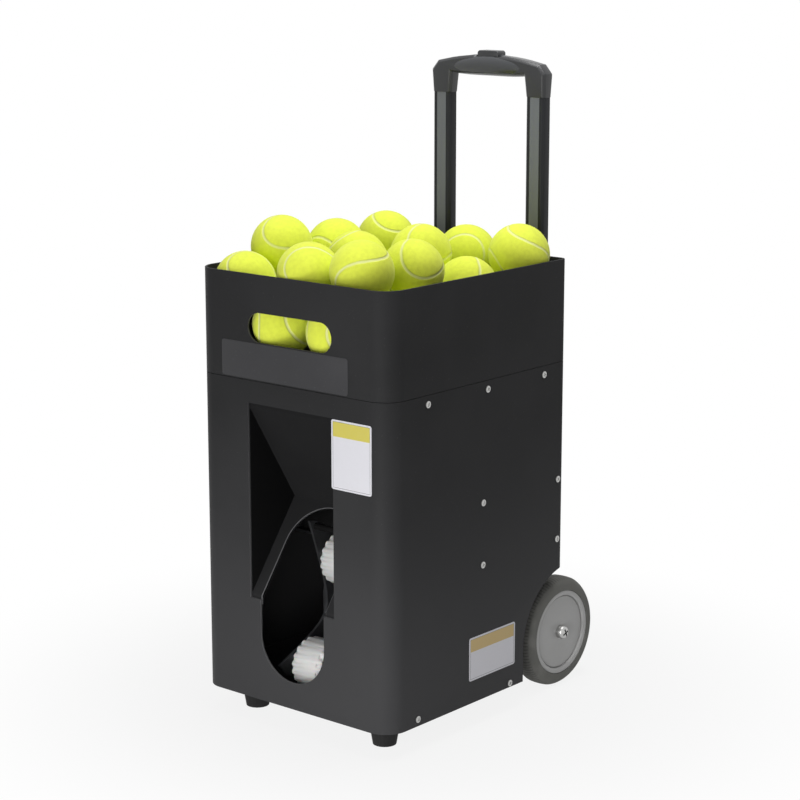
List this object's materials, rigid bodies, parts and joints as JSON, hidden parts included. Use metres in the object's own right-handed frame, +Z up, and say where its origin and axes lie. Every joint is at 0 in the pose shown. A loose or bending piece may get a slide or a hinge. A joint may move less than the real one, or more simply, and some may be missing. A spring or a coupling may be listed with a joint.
{
  "type": "padel ball machine",
  "caption": "Portable ball thrower: box casing with open hopper, ball carousel and chute, tilting head with two driven wheels behind a front recess, transport wheels and telescopic handle",
  "frame": {"origin": "on the ground under the centre of the bounding box", "axes": "+Z up, -Y the side that the balls leave, +X to the right seen from behind the machine, so the handle and transport wheels are at +Y"},
  "size_m": [0.265, 0.3675, 0.697],
  "materials": {
    "casing": "fine-textured charcoal",
    "black_plastic": "satin moulded",
    "grey_plastic": "satin moulded",
    "rubber": "matt",
    "tyre": "matt",
    "steel": "bright turned",
    "dark_steel": "zinc grey",
    "motor": "dark coated",
    "urethane": "off-white, smooth",
    "handle": "satin grey",
    "grip": "satin grey",
    "battery_case": "smooth blue",
    "felt": "napped felt"
  },
  "bodies": {
    "machine": {"casing_wrap": "casing", "hopper_shell": "casing", "rear_panel": "casing", "base_tray": "casing", "front_recess": "black_plastic", "feeder_deck": "black_plastic", "hopper_floor": "black_plastic", "ball_chute": "black_plastic", "wheel_well_left": "black_plastic", "wheel_well_right": "black_plastic", "foot_left": "rubber", "foot_right": "rubber", "axle_bracket_left": "black_plastic", "axle_bracket_right": "black_plastic", "axle": "steel", "axle_screw_left": "steel", "axle_screw_right": "steel", "handle_sleeve_left": "handle", "handle_sleeve_right": "handle", "handle_bracket_lower": "black_plastic", "handle_bracket_upper": "black_plastic", "pivot_bracket_left": "dark_steel", "pivot_bracket_right": "dark_steel", "elevation_gearmotor": "motor", "battery_bracket": "dark_steel", "controller_bracket": "dark_steel", "battery": "battery_case", "controller_box": "black_plastic", "control_panel": "black_plastic", "switch_bezel": "black_plastic", "charging_inlet": "black_plastic", "practice_balls": "felt", "carousel_gearmotor": "motor"},
    "head": {"head_plate_left": "dark_steel", "head_plate_right": "dark_steel", "head_tie_front": "dark_steel", "head_tie_rear": "dark_steel", "ball_guide": "black_plastic", "sector_gear": "dark_steel", "upper_throwing_motor": "motor", "lower_throwing_motor": "motor"},
    "upper_wheel": {"upper_throwing_wheel": "urethane", "upper_wheel_shaft": "steel"},
    "lower_wheel": {"lower_throwing_wheel": "urethane", "lower_wheel_shaft": "steel"},
    "pinion": {"elevation_pinion": "steel"},
    "carousel": {"ball_carousel": "grey_plastic", "carousel_shaft": "steel"},
    "wheel_left": {"wheel_hub_left": "grey_plastic", "tyre_left": "tyre"},
    "wheel_right": {"wheel_hub_right": "grey_plastic", "tyre_right": "tyre"},
    "handle": {"handle_tube_left": "handle", "handle_tube_right": "handle", "handle_grip": "grip"},
    "button": {"release_button": "grip"},
    "rocker": {"power_rocker": "black_plastic"},
    "knob_speed": {"speed_knob": "black_plastic"},
    "knob_interval": {"interval_knob": "black_plastic"}
  },
  "joints": [
    {"name": "head_elevation", "type": "hinge", "parent": "machine", "child": "head", "pos_m": [0, -0.06575, 0.122], "axis": [-1, 0, 0], "range_deg": [-3.6, 14.4]},
    {"name": "upper_wheel_spin", "type": "hinge", "parent": "head", "child": "upper_wheel", "pos_m": [0, -0.09093, 0.16879], "axis": [1, 0, 0], "continuous": true},
    {"name": "lower_wheel_spin", "type": "hinge", "parent": "head", "child": "lower_wheel", "pos_m": [0, -0.13697, 0.06341], "axis": [1, 0, 0], "continuous": true},
    {"name": "pinion_spin", "type": "hinge", "parent": "machine", "child": "pinion", "pos_m": [0, 0.00132, 0.09073], "axis": [-1, 0, 0], "range_deg": [-62, 16]},
    {"name": "carousel_spin", "type": "hinge", "parent": "machine", "child": "carousel", "pos_m": [0, -0.03575, 0.3705], "axis": [0, 0, 1], "continuous": true},
    {"name": "wheel_left_spin", "type": "hinge", "parent": "machine", "child": "wheel_left", "pos_m": [0, 0.12225, 0.0615], "axis": [1, 0, 0], "continuous": true},
    {"name": "wheel_right_spin", "type": "hinge", "parent": "machine", "child": "wheel_right", "pos_m": [0, 0.12225, 0.0615], "axis": [1, 0, 0], "continuous": true},
    {"name": "handle_slide", "type": "slide", "parent": "machine", "child": "handle", "axis": [0, 0, 1], "range_m": [-0.2, 0]},
    {"name": "button_press", "type": "slide", "parent": "handle", "child": "button", "axis": [0, 0, 1], "range_m": [-0.0035, 0], "stiffness_N_per_m": 400},
    {"name": "rocker_tip", "type": "hinge", "parent": "machine", "child": "rocker", "pos_m": [-0.02, 0.11225, 0.292], "axis": [1, 0, 0], "range_deg": [0, 14]},
    {"name": "speed_knob_turn", "type": "hinge", "parent": "machine", "child": "knob_speed", "pos_m": [-0.02, 0.10975, 0.238], "axis": [0, 1, 0], "range_deg": [0, 270]},
    {"name": "interval_knob_turn", "type": "hinge", "parent": "machine", "child": "knob_interval", "pos_m": [0.02, 0.10975, 0.238], "axis": [0, 1, 0], "range_deg": [0, 270]}
  ],
  "couplings": [
    {"joint": "pinion_spin", "follows": "head_elevation", "ratio": -4.2857}
  ]
}
